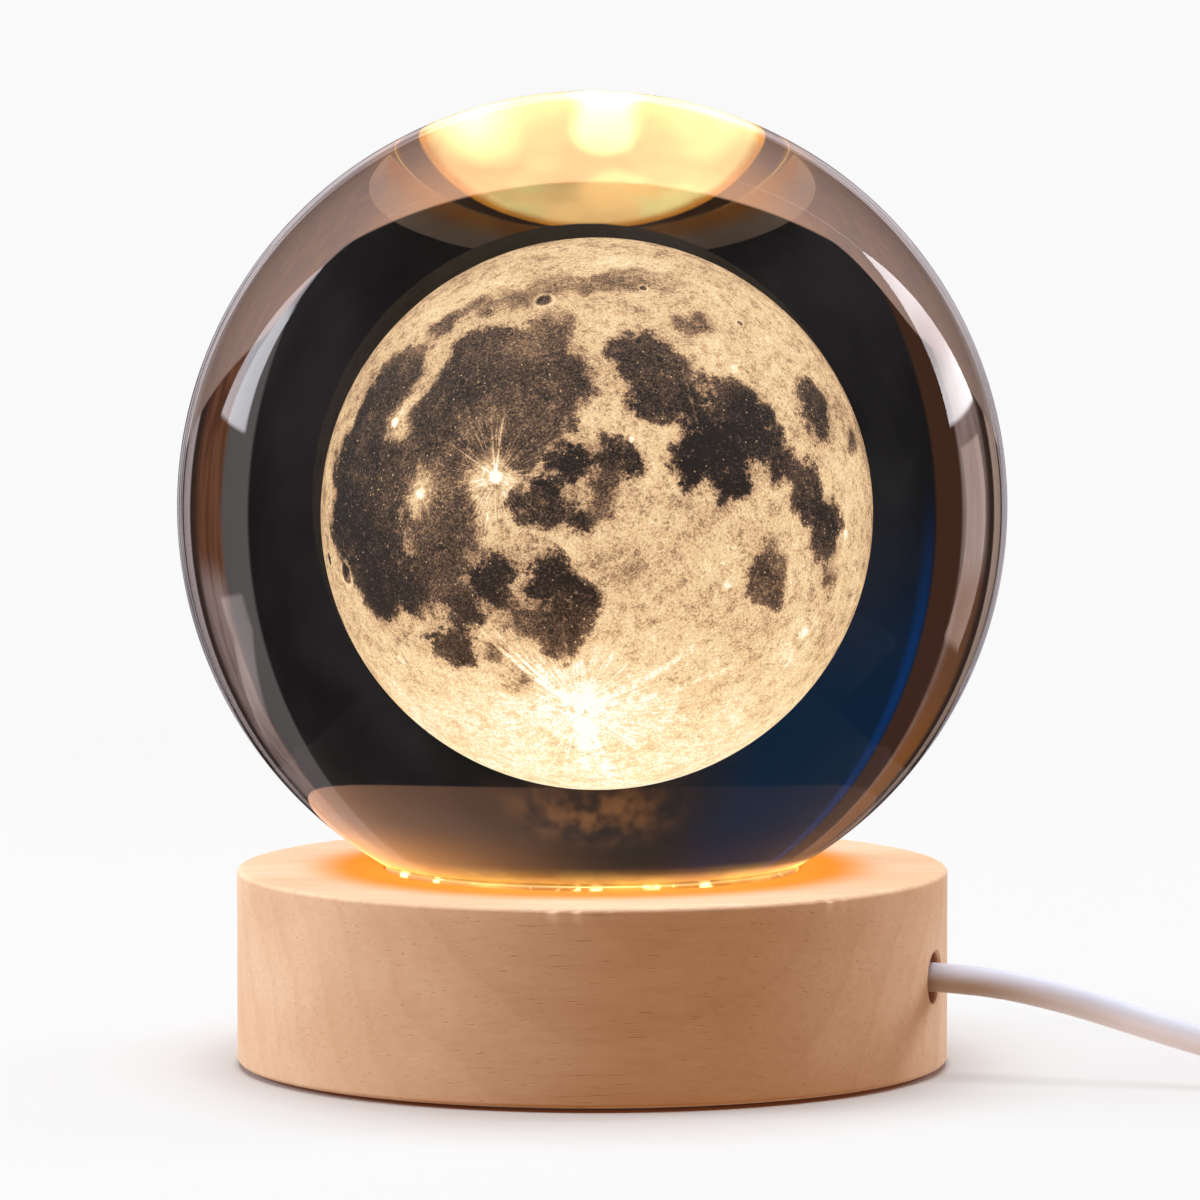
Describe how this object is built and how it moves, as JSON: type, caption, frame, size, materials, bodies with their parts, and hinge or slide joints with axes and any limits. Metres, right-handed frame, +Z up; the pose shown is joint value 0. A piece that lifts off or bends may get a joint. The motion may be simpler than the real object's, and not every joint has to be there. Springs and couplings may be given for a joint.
{
  "type": "moon lamp",
  "caption": "Solid glass ball with a moon engraved inside it, on a round beech base that lights it from below, with a USB cable.",
  "frame": {"origin": "on the floor under the middle of the base, at the foam pad's underside", "axes": "+Z up through the ball, +X towards the side that the cable leaves, +Y away from the viewer"},
  "size_m": [0.1686, 0.0822, 0.094],
  "materials": {
    "beech": "fine sanded, oiled",
    "foam": "matte closed-cell foam",
    "cover_plastic": "moulded black plastic",
    "screw_steel": "zinc-plated steel",
    "board_lacquer": "white solder lacquer",
    "diode_plastic": "white diode package",
    "phosphor": "yellow phosphor gel, lit warm white",
    "resistor_ceramic": "black chip resistor",
    "solder": "bright tin solder",
    "red_insulation": "red PVC insulation",
    "black_insulation": "black PVC insulation",
    "nylon": "natural nylon",
    "cable_jacket": "white PVC jacket",
    "tie_plastic": "black plastic-coated tie",
    "plug_plastic": "white moulded PVC",
    "plug_steel": "nickel-plated steel",
    "tongue_plastic": "white insulating plastic",
    "contact_brass": "gold-plated contacts",
    "clear_silicone": "clear silicone washer",
    "crystal_glass": "polished optical glass",
    "engraving": "white fracture points in glass, lit warm"
  },
  "bodies": {
    "base": {"wooden_base": "beech", "base_pad": "foam", "bottom_cover": "cover_plastic", "cover_screws": "screw_steel", "led_board": "board_lacquer", "board_screws": "screw_steel", "leds": "diode_plastic", "led_phosphors": "phosphor", "resistors": "resistor_ceramic", "solder_joints": "solder", "lead_red": "red_insulation", "lead_black": "black_insulation", "cable_clamp": "nylon", "cable_run": "cable_jacket", "cable_coil": "cable_jacket", "coil_tie": "tie_plastic", "cable_tail": "cable_jacket", "plug_strain_relief": "cable_jacket", "plug_grip": "plug_plastic", "plug_shell": "plug_steel", "plug_tongue": "tongue_plastic", "plug_contacts": "contact_brass"},
    "washer": {"seat_washer": "clear_silicone"},
    "ball": {"glass_ball": "crystal_glass", "engraved_moon": "engraving"}
  },
  "joints": [
    {"name": "ball_turn", "type": "hinge", "parent": "base", "child": "washer", "pos_m": [0, 0, 0.0194], "axis": [0, 0, 1], "continuous": true},
    {"name": "ball_lift", "type": "slide", "parent": "washer", "child": "ball", "axis": [0, 0, 1], "range_m": [0, 0.06]}
  ]
}
